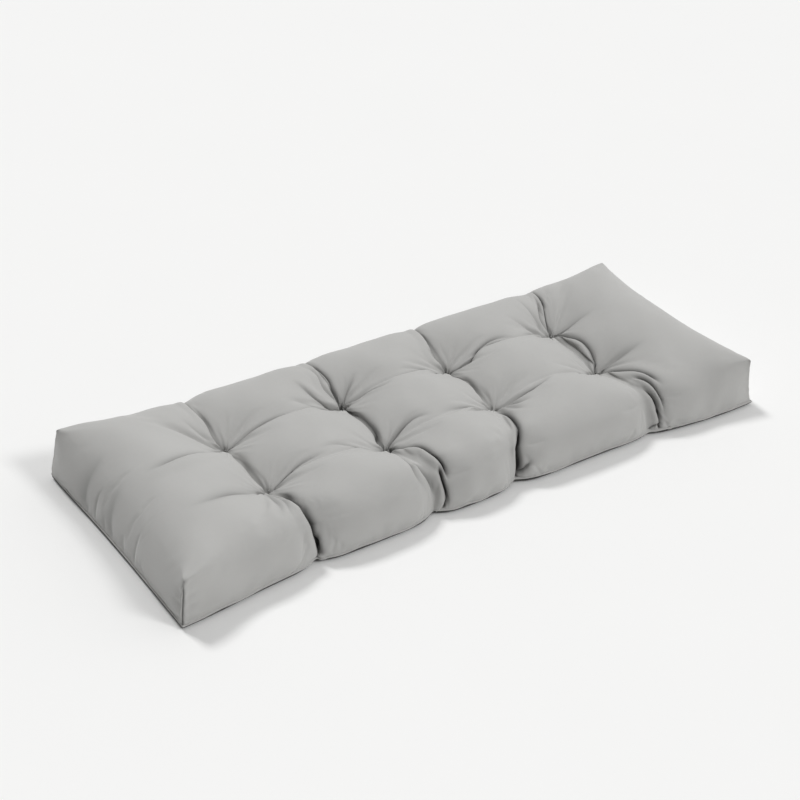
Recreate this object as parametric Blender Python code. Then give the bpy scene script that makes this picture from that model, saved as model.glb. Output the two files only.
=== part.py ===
# Tufted bench cushion, lying on its back: a filled cover with boxed corners, the cloth panel
# sewn under it, and the thread tack at the bottom of each tuft.
# Metres, +Z up, origin at the middle of the face it rests on, X along the bench.

import math
from collections import namedtuple

import bmesh
import bpy
from mathutils import Vector

# Driving dimensions
LENGTH = 1.300
WIDTH = 0.460
SIDE_HEIGHT = 0.095  # boxed side at the four corners
CROWN_HEIGHT = 0.122  # top of the fullest pillows
SHEET = 0.002  # thickness of the cloth panel under the fill
GAP = 0.0003  # clearance between touching pieces
SEAM_LIFT = 0.007  # how far the lower seam stands off the surface
LIP = 0.0015  # how far the lower panel's edge shows past the filled body

# Each tuft's place
Tuft = namedtuple("Tuft", "name x y")
TUFTS = (
    Tuft("back_1", -0.398, 0.068),
    Tuft("back_2", -0.138, 0.076),
    Tuft("back_3", 0.111, 0.075),
    Tuft("back_4", 0.378, 0.076),
    Tuft("front_1", -0.394, -0.071),
    Tuft("front_2", -0.144, -0.074),
    Tuft("front_3", 0.113, -0.068),
    Tuft("front_4", 0.367, -0.070),
)
ROWS = (TUFTS[:4], TUFTS[4:])
ROW_Y = [sum(tuft.y for tuft in row) / len(row) for row in reversed(ROWS)]
COLUMN_X = [sum(tuft.x for tuft in column) / len(column) for column in zip(*ROWS)]

# Where each column of tufts draws in a long side: place, depth at the seam and up the wall, height
Pinch = namedtuple("Pinch", "x y seam wall floor")
BACK_PINCHES = (
    Pinch(-0.405, 0.212, 0.008, 0.010, 0.097),
    Pinch(-0.140, 0.212, 0.008, 0.010, 0.106),
    Pinch(0.112, 0.212, 0.008, 0.012, 0.102),
    Pinch(0.415, 0.212, 0.008, 0.010, 0.105),
)
FRONT_PINCHES = (
    Pinch(-0.380, -0.205, 0.018, 0.027, 0.076),
    Pinch(-0.126, -0.205, 0.020, 0.032, 0.072),
    Pinch(0.072, -0.205, 0.020, 0.030, 0.072),
    Pinch(0.390, -0.205, 0.014, 0.024, 0.076),
)
PINCH_WIDTH = 0.030
PINCH_TAPER = 1.6  # a pinch reaches its full depth at 1 over this share of the wall
BULGE = 0.010  # how far the pillows push the walls out at mid height
END_WAIST = 0.003  # draw-in of the short sides between their ends
BOW_X = 0.50  # the last section of the front stands proud round this place
BOW_DEPTH = 0.006
BOW_WIDTH = 0.13

# How the two long sides differ: waist between the ends, edge radius, shoulder, rise of the top edge
Side = namedtuple("Side", "waist radius shoulder rise")
FRONT_SIDE = Side(0.011, 0.050, 0.110, 0.0)
BACK_SIDE = Side(0.004, 0.028, 0.075, 0.006)

# Rounding and sharpness of the form
TUFT_FLOOR = 0.055  # height of the cloth at the bottom of a tuft
SHARPNESS = 5  # how tightly neighbouring creases keep apart
END_RADIUS = 0.018  # the cover turns over the short sides with this radius
CORNER_REACH = 0.10  # the rounding fades out over this distance from a boxed corner
WAIST_REACH = 0.22  # a long side's waist and bulge grow over this distance from the ends
WALL_REACH = 0.11  # the walls' draw-in fades out over this distance inwards
END_WAIST_REACH = 0.15
PILLOW_REACH = 0.120  # from a column crease to the top of its pillow
ROW_REACH = 0.080
END_SHOULDER_REACH = 0.150
SEAM_REACH = 0.026  # the lower panel curves from the seam down to the surface in this width
ROW_RISE = 0.040  # a crease stands this much higher midway between two tufts of a row
COLUMN_RISE = 0.030  # and midway between the two tufts of a column
END_FOLD_DROP = 0.012  # shallow folds from the outer tufts towards the short sides
END_FOLD_LENGTH = 0.20
END_FOLD_WIDTH = 0.030
PINCH_RISE = 0.010  # a crease stands this much higher midway between a tuft and its pinch
DOME_POWER = 0.75  # under 1 a pillow rises more steeply from its crease
RISE_POWER = 0.7

TACK_LENGTH = 0.005
TACK_RADIUS = 0.0008
TACK_SEAT = 0.0022  # the tack bridges the dimple this far above its lowest point

Crease = namedtuple("Crease", "start end floor_start floor_end rise reach")


def smooth_step(t):
    t = min(max(t, 0.0), 1.0)
    return t * t * (3.0 - 2.0 * t)


def dome(t):
    """Height share of a pillow at t of the way from its crease to its top."""
    t = min(max(t, 0.0), 1.0)
    return (1.0 - (1.0 - t) ** 2) ** DOME_POWER


def crease_list():
    """Columns run from wall to wall through both rows; rows join neighbouring tufts."""
    creases = []
    for back, front, outer_back, outer_front in zip(*ROWS, BACK_PINCHES, FRONT_PINCHES):
        creases.append(Crease(back, front, TUFT_FLOOR, TUFT_FLOOR, COLUMN_RISE, PILLOW_REACH))
        for tuft, pinch in ((back, outer_back), (front, outer_front)):
            creases.append(Crease(tuft, pinch, TUFT_FLOOR, pinch.floor, PINCH_RISE, PILLOW_REACH))
    for row in ROWS:
        for left, right in zip(row, row[1:]):
            creases.append(Crease(left, right, TUFT_FLOOR, TUFT_FLOOR, ROW_RISE, ROW_REACH))
    return creases


CREASES = crease_list()


def crease_drop(crease, x, y):
    """How far the crease pulls the crown down at a point."""
    along_x, along_y = crease.end.x - crease.start.x, crease.end.y - crease.start.y
    t = ((x - crease.start.x) * along_x + (y - crease.start.y) * along_y) / (along_x**2 + along_y**2)
    t = min(max(t, 0.0), 1.0)
    away = math.hypot(x - crease.start.x - t * along_x, y - crease.start.y - t * along_y)
    floor = crease.floor_start + (crease.floor_end - crease.floor_start) * t
    floor += crease.rise * math.sin(math.pi * t) ** RISE_POWER
    return (CROWN_HEIGHT - floor) * (1.0 - dome(away / crease.reach))


def end_fold_drop(x, y):
    """Shallow folds that run from the outer tufts out to the short sides."""
    drop = 0.0
    for tuft in (ROWS[0][0], ROWS[1][0], ROWS[0][3], ROWS[1][3]):
        outward = (x - tuft.x) * math.copysign(1.0, tuft.x)
        if outward > 0:
            fade = 1.0 - smooth_step(outward / END_FOLD_LENGTH)
            drop = max(drop, END_FOLD_DROP * fade * math.exp(-(((y - tuft.y) / END_FOLD_WIDTH) ** 2)))
    return drop


def crown(x, y):
    """Height of the top over a point: full pillows, less every crease, less the shoulders."""
    side = long_side(y)
    to_side = max(WIDTH / 2 - side.waist * middle_share(x) - abs(y), 0.0)
    to_end = max(LENGTH / 2 - abs(x), 0.0)
    drops = [crease_drop(crease, x, y) for crease in CREASES]
    side_drop = CROWN_HEIGHT - SIDE_HEIGHT - side.rise * middle_share(x)
    drops.append(side_drop * (1.0 - dome(to_side / side.shoulder)))
    drops.append((CROWN_HEIGHT - SIDE_HEIGHT) * (1.0 - dome(to_end / END_SHOULDER_REACH)))
    drops.append(end_fold_drop(x, y))
    joined = sum(drop**SHARPNESS for drop in drops) ** (1 / SHARPNESS)
    return CROWN_HEIGHT - min(joined, CROWN_HEIGHT - TUFT_FLOOR)


def long_side(y):
    return FRONT_SIDE if y < 0 else BACK_SIDE


def middle_share(x):
    """0 at the short sides, 1 over the middle of the length."""
    return smooth_step((LENGTH / 2 - abs(x)) / WAIST_REACH)


def draw_in(x, y, rise):
    """How far a long side is pulled in at x, for a height share from 0 at the seam to 1."""
    swell = BULGE * math.sin(math.pi * min(rise, 1.0))
    inward = (long_side(y).waist - swell) * middle_share(x)
    if y < 0:
        inward -= BOW_DEPTH * math.exp(-(((x - BOW_X) / BOW_WIDTH) ** 2))
    for pinch in FRONT_PINCHES if y < 0 else BACK_PINCHES:
        notch = math.exp(-(((x - pinch.x) / PINCH_WIDTH) ** 2))
        depth = pinch.seam + (pinch.wall - pinch.seam + BULGE) * smooth_step(rise * PINCH_TAPER)
        inward += depth * notch
    return inward


def turned_over(inward, below, radius):
    """Wraps the square edge between top and wall on an arc: distances from wall and top."""
    if radius < 1e-6 or inward >= radius or below >= radius:
        return inward, below
    angle = ((radius - inward) if below < 1e-6 else (radius + below)) / radius * math.pi / 4
    return radius - radius * math.sin(angle), radius - radius * math.cos(angle)


def underside(x, y):
    """Height of the lowest surface: flat, curving up to the seam all round."""
    to_edge = min(WIDTH / 2 - abs(y), LENGTH / 2 - abs(x))
    return SEAM_LIFT * (1.0 - smooth_step(to_edge / SEAM_REACH))


def shaped(x, y, rise):
    """Moves a point of the square block, at a height share of 0 to 1, onto the cushion."""
    below = (1.0 - rise) * SIDE_HEIGHT
    from_end = LENGTH / 2 - abs(x)
    from_side = WIDTH / 2 - abs(y)
    fade_x, fade_y = smooth_step(from_end / CORNER_REACH), smooth_step(from_side / CORNER_REACH)
    radius = long_side(y).radius
    side_in, side_down = turned_over(from_side, below, radius * fade_x)
    end_in, end_down = turned_over(from_end, below, END_RADIUS * fade_y)
    down = max(side_down, end_down) if from_side < radius or from_end < END_RADIUS else below
    height = SIDE_HEIGHT - down
    share = height / SIDE_HEIGHT
    near_side = 1.0 - smooth_step(from_side / WALL_REACH)
    near_end = 1.0 - smooth_step(from_end / WALL_REACH)
    side_in += draw_in(x, y, share) * near_side
    end_waist = END_WAIST * smooth_step(from_side / END_WAIST_REACH)
    end_in += (end_waist - 0.5 * BULGE * math.sin(math.pi * share) * fade_y) * near_end
    moved_x = math.copysign(LENGTH / 2 - end_in, x)
    moved_y = math.copysign(WIDTH / 2 - side_in, y)
    floor = underside(x, y) + SHEET + GAP
    top = height + (crown(moved_x, moved_y) - SIDE_HEIGHT) * share**2
    return Vector((moved_x, moved_y, floor + (top - floor) * share))


def between(value, knots, places):
    """Piecewise linear: the place that belongs to a value among the knots."""
    for low, high, start, end in zip(knots, knots[1:], places, places[1:]):
        if value <= high:
            return start + (end - start) * (value - low) / (high - low)
    return places[-1]


def threaded(x, y):
    """Bends the block's straight cuts, so that they run through the tufts and the pinches."""
    tuft_y = between(x, COLUMN_X, [tuft.y for tuft in ROWS[1]])
    back_y = between(x, COLUMN_X, [tuft.y for tuft in ROWS[0]])
    bent_y = between(y, (-WIDTH / 2, *ROW_Y, WIDTH / 2), (-WIDTH / 2, tuft_y, back_y, WIDTH / 2))
    columns = []
    for back, front, outer_back, outer_front in zip(*ROWS, BACK_PINCHES, FRONT_PINCHES):
        stops = (outer_front, front, back, outer_back)
        columns.append(between(y, (-WIDTH / 2, *ROW_Y, WIDTH / 2), [stop.x for stop in stops]))
    ends = (-LENGTH / 2, LENGTH / 2)
    bent_x = between(x, (ends[0], *COLUMN_X, ends[1]), (ends[0], *columns, ends[1]))
    return bent_x, bent_y


def stations(marks, offsets, low, high, spacing):
    """Cut positions from low to high: close together at the marks, evenly spaced between."""
    near = sorted({round(mark + offset, 5) for mark in marks for offset in offsets})
    wanted = [low] + [value for value in near if low < value < high] + [high]
    cuts = []
    for start, end in zip(wanted, wanted[1:]):
        pieces = max(1, round((end - start) / spacing))
        cuts += [start + (end - start) * i / pieces for i in range(pieces)]
    return cuts[1:]


def block(name, cuts_x, cuts_y, cuts_rise):
    """A square block, sliced at the given positions. Its height runs from 0 to 1."""
    mesh = bmesh.new()
    bmesh.ops.create_cube(mesh, size=1.0)
    bmesh.ops.translate(mesh, verts=mesh.verts, vec=(0.0, 0.0, 0.5))
    bmesh.ops.scale(mesh, verts=mesh.verts, vec=(LENGTH, WIDTH, 1.0))
    for axis, cuts in enumerate((cuts_x, cuts_y, cuts_rise)):
        normal = Vector([1.0 if i == axis else 0.0 for i in range(3)])
        for cut in cuts:
            geometry = mesh.verts[:] + mesh.edges[:] + mesh.faces[:]
            bmesh.ops.bisect_plane(mesh, geom=geometry, plane_co=normal * cut, plane_no=normal)
    return mesh


def finished(mesh, name, material, collection):
    """Joins the level faces of the underside into one, and makes the object."""
    level = [face for face in mesh.faces if len({round(v.co.z, 6) for v in face.verts}) == 1]
    inner = {edge for face in level for edge in face.edges if all(f in level for f in edge.link_faces)}
    bmesh.ops.dissolve_edges(mesh, edges=list(inner), use_verts=True)
    bmesh.ops.triangulate(mesh, faces=mesh.faces)
    bmesh.ops.recalc_face_normals(mesh, faces=mesh.faces)
    data = bpy.data.meshes.new(name)
    mesh.to_mesh(data)
    mesh.free()
    data.materials.append(material)
    data.shade_smooth()
    data.set_sharp_from_angle(angle=math.radians(40))
    made = bpy.data.objects.new(name, data)
    collection.objects.link(made)
    return made


def filled_body(cuts_x, cuts_y, material, collection):
    mesh = block("cushion_body", cuts_x, cuts_y, (0.18, 0.40, 0.62, 0.82))
    for vertex in mesh.verts:
        vertex.co = shaped(*threaded(vertex.co.x, vertex.co.y), vertex.co.z)
    return finished(mesh, "cushion_body", material, collection)


def base_panel(cuts_x, cuts_y, material, collection):
    """The cloth under the fill. Its edge, sewn to the cover, shows as a thin lip."""
    mesh = block("base_panel", cuts_x, cuts_y, ())
    for vertex in mesh.verts:
        layer = vertex.co.z
        x, y = threaded(vertex.co.x, vertex.co.y)
        edge = shaped(x, y, 0.0)
        lip_x = LIP if abs(x) > LENGTH / 2 - GAP else 0.0
        lip_y = LIP if abs(y) > WIDTH / 2 - GAP else 0.0
        moved_x = edge.x + math.copysign(lip_x, x)
        moved_y = edge.y + math.copysign(lip_y, y)
        vertex.co = Vector((moved_x, moved_y, underside(x, y) + layer * SHEET))
    return finished(mesh, "base_panel", material, collection)


def tuft_tack(tuft, material, collection):
    """A short bar of thread across the bottom of the dimple, along the column."""
    height = crown(tuft.x, tuft.y) + TACK_SEAT + TACK_RADIUS
    bpy.ops.mesh.primitive_cylinder_add(
        vertices=10,
        radius=TACK_RADIUS,
        depth=TACK_LENGTH,
        location=(tuft.x, tuft.y, height),
        rotation=(math.pi / 2, 0.0, 0.0),
    )
    tack = bpy.context.active_object
    tack.name = "tuft_tack_" + tuft.name
    tack.data.materials.append(material)
    for owner in list(tack.users_collection):
        owner.objects.unlink(tack)
    collection.objects.link(tack)


def surface(name, colour, roughness):
    material = bpy.data.materials.new(name)
    material.use_nodes = True
    shader = material.node_tree.nodes["Principled BSDF"]
    shader.inputs["Base Color"].default_value = (*colour, 1.0)
    shader.inputs["Roughness"].default_value = roughness
    shader.inputs["Metallic"].default_value = 0.0
    return material


def main():
    for old in list(bpy.data.objects):
        bpy.data.objects.remove(old, do_unlink=True)
    collection = bpy.data.collections.new("bench_cushion")
    bpy.context.scene.collection.children.link(collection)
    cover_cloth = surface("cover_cloth", (0.42, 0.42, 0.40), 0.85)
    base_cloth = surface("base_cloth", (0.38, 0.38, 0.37), 0.88)
    tack_thread = surface("tack_thread", (0.45, 0.45, 0.43), 0.70)
    ends = (-LENGTH / 2, LENGTH / 2)
    sides = (-WIDTH / 2, WIDTH / 2)
    cuts_x = stations(COLUMN_X, (-0.034, -0.012, 0.0, 0.012, 0.034), *ends, 0.030)
    cuts_x += [sign * (LENGTH / 2 - inset) for sign in (-1, 1) for inset in (0.010,)]
    cuts_y = stations(ROW_Y, (-0.020, 0.0, 0.020), *sides, 0.022)
    cuts_y += [sign * (WIDTH / 2 - inset) for sign in (-1, 1) for inset in (0.009,)]
    filled_body(cuts_x, cuts_y, cover_cloth, collection)
    base_panel(cuts_x, cuts_y, base_cloth, collection)
    for tuft in TUFTS:
        tuft_tack(tuft, tack_thread, collection)


main()
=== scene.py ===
import math
from collections import namedtuple

import bpy
import numpy as np
from mathutils import Matrix, Vector


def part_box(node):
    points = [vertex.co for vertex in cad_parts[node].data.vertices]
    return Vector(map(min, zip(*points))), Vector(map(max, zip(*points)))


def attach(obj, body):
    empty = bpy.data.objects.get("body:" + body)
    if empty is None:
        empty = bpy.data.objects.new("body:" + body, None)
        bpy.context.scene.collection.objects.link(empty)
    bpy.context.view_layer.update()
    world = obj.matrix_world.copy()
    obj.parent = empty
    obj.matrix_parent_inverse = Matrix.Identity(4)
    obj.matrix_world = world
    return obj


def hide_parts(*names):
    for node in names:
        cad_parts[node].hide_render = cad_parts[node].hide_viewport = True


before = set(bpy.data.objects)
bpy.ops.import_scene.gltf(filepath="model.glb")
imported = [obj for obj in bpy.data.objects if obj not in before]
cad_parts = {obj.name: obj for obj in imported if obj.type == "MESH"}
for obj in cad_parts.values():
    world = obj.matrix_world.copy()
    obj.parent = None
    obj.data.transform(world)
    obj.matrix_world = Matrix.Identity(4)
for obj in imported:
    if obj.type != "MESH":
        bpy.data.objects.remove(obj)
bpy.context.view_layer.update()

tau = 2 * math.pi


# small shared tools

def smooth(value):
    # eases from 0 to 1 with level ends: 3t^2 - 2t^3
    value = np.clip(value, 0, 1)
    return value * value * (3 - 2 * value)


def bell(distance, width):
    # a soft hump of height 1: e^-(d/w)^2
    return np.exp(-(distance / width) ** 2)


def nodeCentre(node):
    # halfway between a node's lowest and highest corners
    low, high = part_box(node)
    return np.array((low + high) / 2)


def makePiece(name, points, faces, material, uv=None):
    # puts whole arrays into a new mesh, rides it on the root and gives it its finish
    mesh = bpy.data.meshes.new(name)
    mesh.from_pydata(points.tolist(), [], faces if isinstance(faces, list) else faces.tolist())
    if uv is not None:
        mesh.uv_layers.new(name="cloth").data.foreach_set("uv", uv.astype(np.float32).ravel())
    mesh.shade_smooth()
    mesh.update()
    piece = bpy.data.objects.new(name, mesh)
    bpy.context.scene.collection.objects.link(piece)
    mesh.materials.append(material)
    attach(piece, "root")
    return piece


def gridFaces(rows, columns, closed=False):
    # quads of a rows x columns grid of points numbered row by row; closed joins its last column to its first
    number = np.arange(rows * columns).reshape(rows, columns)
    if closed:
        number = np.concatenate([number, number[:, :1]], 1)
    corners = (number[:-1, :-1], number[1:, :-1], number[1:, 1:], number[:-1, 1:])
    return np.stack(corners, -1).reshape(-1, 4)


def pointNormals(points, quads):
    # each point's normal is the sum of the cross products of the diagonals of the quads round it
    across = np.cross(points[quads[:, 2]] - points[quads[:, 0]], points[quads[:, 3]] - points[quads[:, 1]])
    normals = np.zeros_like(points)
    for corner in range(4):
        np.add.at(normals, quads[:, corner], across)
    return normals / np.maximum(np.linalg.norm(normals, axis=1, keepdims=True), 1e-12)


# shader patterns written as sums and products

class Wire:
    # a node's output that sums and products can be written with; each of them makes its Math node
    def __init__(self, tree, socket=None):
        self.tree = tree
        self.socket = socket

    def node(self, kind, settings=None, values=None, output=0):
        # makes any node: its settings first, then the values or links of its sockets
        made = self.tree.nodes.new(kind)
        for name, setting in (settings or {}).items():
            setattr(made, name, setting)
        for name, value in (values or {}).items():
            if isinstance(value, Wire):
                self.tree.links.new(value.socket, made.inputs[name])
            else:
                made.inputs[name].default_value = value
        return Wire(self.tree, made.outputs[output])

    def maths(self, operation, first, second=0.0):
        return self.node("ShaderNodeMath", {"operation": operation}, {0: first, 1: second})

    def __add__(self, other):
        return self.maths("ADD", self, other)

    def __radd__(self, other):
        return self.maths("ADD", other, self)

    def __sub__(self, other):
        return self.maths("SUBTRACT", self, other)

    def __rsub__(self, other):
        return self.maths("SUBTRACT", other, self)

    def __mul__(self, other):
        return self.maths("MULTIPLY", self, other)

    def __rmul__(self, other):
        return self.maths("MULTIPLY", other, self)

    def __abs__(self):
        return self.maths("ABSOLUTE", self)

    def sine(self):
        return self.maths("SINE", self)


def newMaterial(name):
    # an empty node tree with its Principled shader linked to the output
    material = bpy.data.materials.new(name)
    material.use_nodes = True
    tree = material.node_tree
    shader = tree.nodes["Principled BSDF"]
    return material, Wire(tree), shader


def connect(wire, shader, sockets):
    # links what varies and sets what is the same all over on the shader's own sockets
    for name, value in sockets.items():
        if isinstance(value, Wire):
            wire.tree.links.new(value.socket, shader.inputs[name])
        else:
            shader.inputs[name].default_value = value


# the studio: floor, light and the camera's place

studio = {
    "floorSize": 14.0,
    "floorColour": (0.90, 0.90, 0.893, 1),
    "paleColour": (0.91, 0.91, 0.903, 1),
    "skyColour": (1.0, 1.0, 1.0, 1),
    "skyStrength": 0.425,
    "skyLean": 0.95,  # how much brighter the sky is on the right than on the left
}
Light = namedtuple("Light", "name place strength softness")
lights = (  # softness is in degrees across
    Light("back_light", (-0.20, 0.98, 1.42), 1.45, 12.0),
    Light("front_light", (0.75, -1.10, 1.25), 0.95, 16.0),
)
shot = {
    "azimuth": -39.13,  # degrees; 0 looks along +Y
    "elevation": 34.365,
    "roll": 5.75,
    "distance": 2.9995,  # metres from the middle of the underside
    "across": -0.042,
    "up": 0.0695,
    "lens": 70.54,
}


def placeCamera():
    # the camera looks back along its own Z at the object's middle, then slides a little and rolls
    turn = math.radians(shot["azimuth"])
    tilt = math.radians(shot["elevation"])
    roll = math.radians(shot["roll"])
    back = Vector((math.sin(turn) * math.cos(tilt), -math.cos(turn) * math.cos(tilt), math.sin(tilt)))
    level = Vector((math.cos(turn), math.sin(turn), 0))
    upright = back.cross(level)
    right = level * math.cos(roll) + upright * math.sin(roll)
    up = upright * math.cos(roll) - level * math.sin(roll)
    camera = bpy.data.objects.new("camera", bpy.data.cameras.new("camera"))
    camera.data.lens = shot["lens"]
    place = back * shot["distance"] + right * shot["across"] + up * shot["up"]
    camera.matrix_world = Matrix.Translation(place) @ Matrix((right, up, back)).transposed().to_4x4()
    bpy.context.scene.collection.objects.link(camera)
    bpy.context.scene.camera = camera


def makeStudio():
    # a pale floor, a sky whose strength grows with its X direction, and the lamps
    material, wire, shader = newMaterial("pale_floor")
    place = wire.node("ShaderNodeTexCoord", output=3)
    grain = wire.node("ShaderNodeTexNoise", values={"Vector": place, "Scale": 3.0, "Detail": 2.0})
    tone = wire.node("ShaderNodeMix", {"data_type": "RGBA"}, {
        "Factor": grain, 6: studio["floorColour"], 7: studio["paleColour"]}, output=2)
    connect(wire, shader, {"Base Color": tone, "Roughness": 0.95})
    side = studio["floorSize"] / 2
    mesh = bpy.data.meshes.new("floor")
    mesh.from_pydata([(-side, -side, 0), (side, -side, 0), (side, side, 0), (-side, side, 0)],
                     [], [(0, 1, 2, 3)])
    floor = bpy.data.objects.new("floor", mesh)
    mesh.materials.append(material)
    bpy.context.scene.collection.objects.link(floor)

    world = bpy.data.worlds.new("studio")
    world.use_nodes = True
    sky = world.node_tree.nodes["Background"]
    sky.inputs["Color"].default_value = studio["skyColour"]
    wire = Wire(world.node_tree)
    towards = wire.node("ShaderNodeTexCoord", output=0)
    right = wire.node("ShaderNodeSeparateXYZ", values={"Vector": towards})
    connect(wire, sky, {"Strength": (right * studio["skyLean"] + 1) * studio["skyStrength"]})
    bpy.context.scene.world = world

    for light in lights:
        lamp = bpy.data.objects.new(light.name, bpy.data.lights.new(light.name, "SUN"))
        lamp.data.energy = light.strength
        lamp.data.angle = math.radians(light.softness)
        lamp.location = light.place
        lamp.rotation_euler = (-Vector(light.place)).to_track_quat("-Z", "Y").to_euler()
        bpy.context.scene.collection.objects.link(lamp)
    bpy.context.scene.view_settings.view_transform = "Standard"


# the cushion's form

Pinch = namedtuple("Pinch", "x y seam wall floor")  # a crease's end at the edge; pulls and height in metres
backPinches = (
    Pinch(-0.405, 0.210, 0.005, 0.006, 0.103),
    Pinch(-0.150, 0.210, 0.004, 0.004, 0.110),
    Pinch(0.112, 0.210, 0.006, 0.009, 0.106),
    Pinch(0.415, 0.210, 0.004, 0.004, 0.110),
)
frontPinches = (
    Pinch(-0.380, -0.205, 0.015, 0.016, 0.092),
    Pinch(-0.126, -0.205, 0.018, 0.023, 0.086),
    Pinch(0.062, -0.205, 0.017, 0.018, 0.088),
    Pinch(0.390, -0.205, 0.010, 0.017, 0.084),
)
cover = {
    "length": 1.300,
    "width": 0.460,
    "wallHeight": 0.095,
    "crown": 0.106,  # height of a pillow before the filling swells it
    "seamLift": 0.0115,  # the base seam hangs this far above the floor
    "endSeamDrop": 0.0010,  # and this much lower along the ends
    "endSeamReach": 0.05,
    "frontWaist": 0.011,  # how far the sides pull in between the corners
    "backWaist": 0.004,
    "endWaist": 0.002,
    "middleReach": 0.22,  # how far in from the ends the long sides reach their full waist
    "leftRise": 0.006,  # an end's top edge stands higher halfway along than at its corners
    "rightRise": 0.011,
    "endRiseReach": 0.17,
    "backTilt": 0.005,  # the back edge drops this much towards the right corner and rises to the left one
    "endLean": 0.007,  # the walls lean in this much from seam to top at the ends
    "bulge": 0.004,
    "bellyPower": 0.7,  # under 1 a corner's bulge lies lower than halfway up
    "cornerReach": 0.15,
    "rightBow": 0.012,  # the last section of the front stands this much prouder
    "rightBowPlace": 0.50,
    "rightBowReach": 0.13,
    "frontRadius": 0.055,
    "backRadius": 0.026,
    "endRadius": 0.014,
    "sideRadiusReach": 0.14,  # the rounding of an edge grows over this much from the corner
    "endRadiusReach": 0.16,
    "endWaistReach": 0.20,
    "endBulgeReach": 0.10,
    "wallReach": 0.11,  # what the walls do fades out this far in over the top
    "backEdgeRise": 0.007,
    "frontShoulder": 0.10,
    "backShoulder": 0.07,
    "endShoulder": 0.17,
    "frontPinchWidth": 0.025,
    "backPinchWidth": 0.018,
    "pinchPower": 1.3,
    "pinchClimb": 1.6,  # how fast a pinch reaches its full pull up the wall
    "tackDepth": 0.0022,  # the cloth lies this far under the middle of a tack
    "columnRise": 0.022,  # how high a crease arches between its ends
    "frontRise": 0.015,
    "backRise": 0.012,
    "rowRise": 0.046,
    "columnBow": 1.0,  # how evenly a crease arches: at 1 a sine, nearer 0 a flatter top
    "frontBow": 1.0,
    "backBow": 0.6,
    "rowBow": 0.45,
    "columnReach": 0.12,
    "rowReach": 0.08,
}
# metres that a corner stands off square, at the top and at the foot
Corner = namedtuple("Corner", "x y topX topY topZ footX footY bulge")
cornerShifts = (
    Corner(-1, -1, -0.002, 0.000, -0.001, 0.001, -0.006, 0.002),
    Corner(-1, 1, 0.002, -0.004, 0.000, -0.004, -0.006, 0.006),
    Corner(1, -1, 0.000, 0.012, 0.003, 0.000, -0.008, 0.003),
    Corner(1, 1, 0.001, -0.005, 0.004, 0.000, -0.004, 0.003),
)
clothSpacing = {
    "crease": 0.0034,  # metres between points beside a crease
    "open": 0.0115,
    "rowCrease": 0.0040,
    "rowOpen": 0.009,
    "corner": 0.003,
    "wall": 0.0064,
    "creaseBand": 0.036,
    "rowBand": 0.028,
    "cornerBand": 0.005,
}
halfLength = cover["length"] / 2
halfWidth = cover["width"] / 2
tacks = {side: np.array([nodeCentre(f"tuft_tack_{side}_{number}") for number in range(1, 5)])
         for side in ("back", "front")}
columnX = (tacks["back"][:, 0] + tacks["front"][:, 0]) / 2
rowY = {side: tacks[side][:, 1].mean() for side in tacks}


def ladder(low, high, coarse, marks):
    # stations from low to high; each mark (place, band, step) draws them together round it:
    # even steps along the sum of how many stations a metre should hold
    fine = np.linspace(low, high, 6001)
    density = np.full_like(fine, 1 / coarse)
    for place, band, step in marks:
        away = np.clip((abs(fine - place) - band) / (0.8 * band), 0, 1)
        density = np.maximum(density, 1 / step + (1 / coarse - 1 / step) * away)
    counted = np.concatenate([[0], np.cumsum((density[1:] + density[:-1]) / 2 * np.diff(fine))])
    stations = np.interp(np.linspace(0, counted[-1], round(counted[-1]) + 1), counted, fine)
    for place, band, step in marks:
        stations[abs(stations - place).argmin()] = place
    return stations


def boxLattice(across, deep, high):
    # the top and four walls of a box of whole-numbered points, shared along every edge
    def sheet(first, second, build):
        one, two = np.meshgrid(np.arange(first + 1), np.arange(second + 1), indexing="ij")
        return build(one, two)

    level = np.zeros_like
    sheets = (
        sheet(across, deep, lambda i, j: np.stack([i, j, level(i) + high], -1)),
        sheet(across, high, lambda i, k: np.stack([i, level(i), k], -1)),
        sheet(across, high, lambda i, k: np.stack([i, level(i) + deep, k], -1)[::-1]),
        sheet(deep, high, lambda j, k: np.stack([level(j), j, k], -1)[::-1]),
        sheet(deep, high, lambda j, k: np.stack([level(j) + across, j, k], -1)),
    )
    faces = []
    count = 0
    for grid in sheets:
        faces.append(gridFaces(*grid.shape[:2]) + count)
        count += grid.shape[0] * grid.shape[1]
    places = np.concatenate([grid.reshape(-1, 3) for grid in sheets])
    points, number = np.unique(places, axis=0, return_inverse=True)
    return points, number.reshape(-1)[np.concatenate(faces)]


def threaded(x, y):
    # bends the straight cutting lines so that they pass through every tuft and pinch
    front, back = rowY["front"], rowY["back"]
    frontY = np.interp(x, columnX, tacks["front"][:, 1])
    backY = np.interp(x, columnX, tacks["back"][:, 1])
    ahead = -halfWidth + (y + halfWidth) * (frontY + halfWidth) / (front + halfWidth)
    between = frontY + (y - front) * (backY - frontY) / (back - front)
    behind = backY + (y - back) * (halfWidth - backY) / (halfWidth - back)
    bentY = np.where(y < front, ahead, np.where(y < back, between, behind))
    rows = (-halfWidth, front, back, halfWidth)
    lines = [np.full_like(x, -halfLength)]
    columns = zip(frontPinches, tacks["front"], tacks["back"], backPinches)
    for frontPinch, frontTack, backTack, backPinch in columns:
        lines.append(np.interp(y, rows, (frontPinch.x, frontTack[0], backTack[0], backPinch.x)))
    lines.append(np.full_like(x, halfLength))
    marks = np.concatenate([[-halfLength], columnX, [halfLength]])
    bentX = np.zeros_like(x)
    for low, high, left, right in zip(marks[:-1], marks[1:], lines[:-1], lines[1:]):
        share = (x - low) / (high - low)
        bentX = np.where((share >= -1e-9) & (share <= 1 + 1e-9), left + (right - left) * share, bentX)
    return bentX, bentY


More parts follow.
